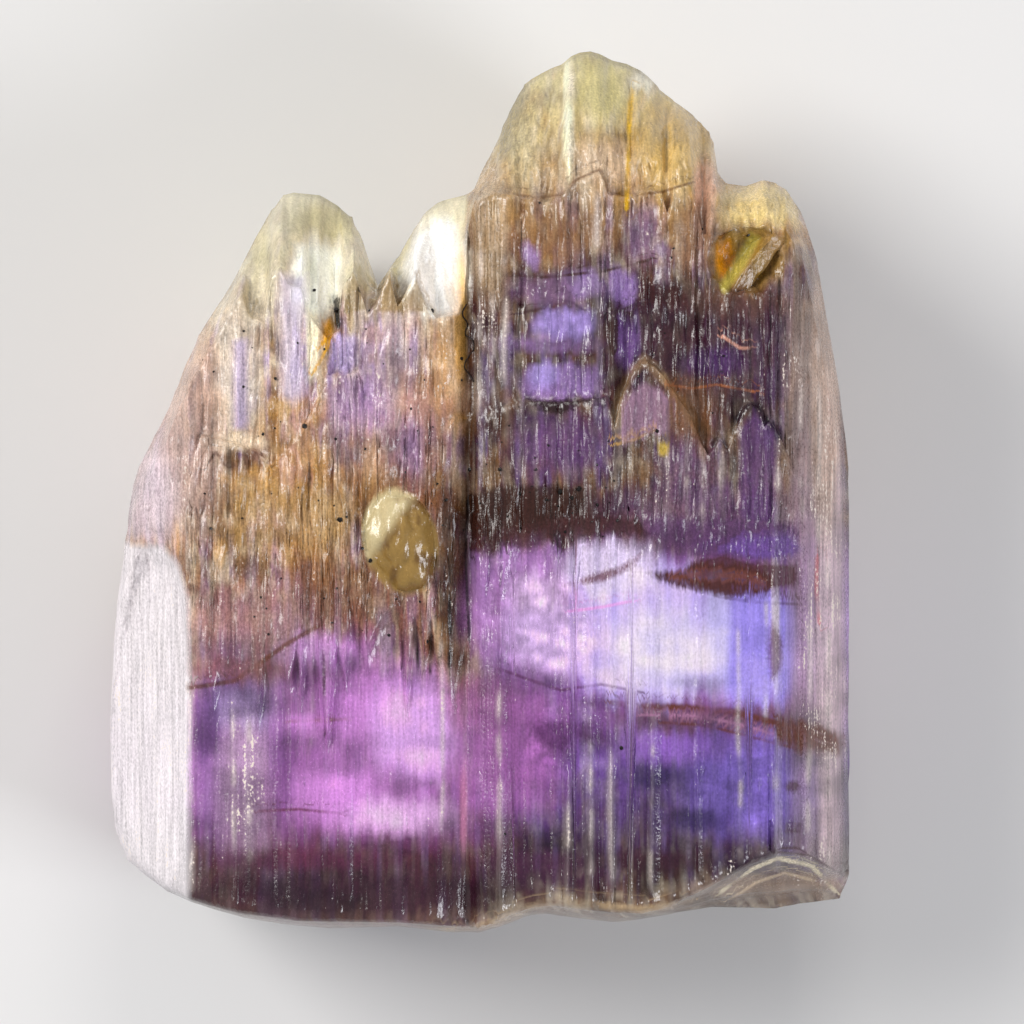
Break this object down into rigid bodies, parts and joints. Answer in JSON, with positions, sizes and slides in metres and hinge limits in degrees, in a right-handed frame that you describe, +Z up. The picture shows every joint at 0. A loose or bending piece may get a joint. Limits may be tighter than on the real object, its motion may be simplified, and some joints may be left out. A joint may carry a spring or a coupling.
{
  "type": "tanzanite crystal",
  "caption": "Violet tanzanite crystal group with pale stepped tips, a stained etched skin and a broken foot, lying on its flat back.",
  "frame": {"origin": "centre of the bounding box at the level of the flat back face that it lies on", "axes": "+Z up, out of the crystal's front; +Y along the prisms from the broken foot to the tips; +X to the right of someone who looks at the front with the tips up"},
  "size_m": [0.0168, 0.02, 0.0081],
  "materials": {
    "tanzanite": "clear violet crystal with striated faces, cream tips and ochre stains"
  },
  "bodies": {
    "root": {"tanzanite_crystal": "tanzanite"}
  },
  "joints": []
}
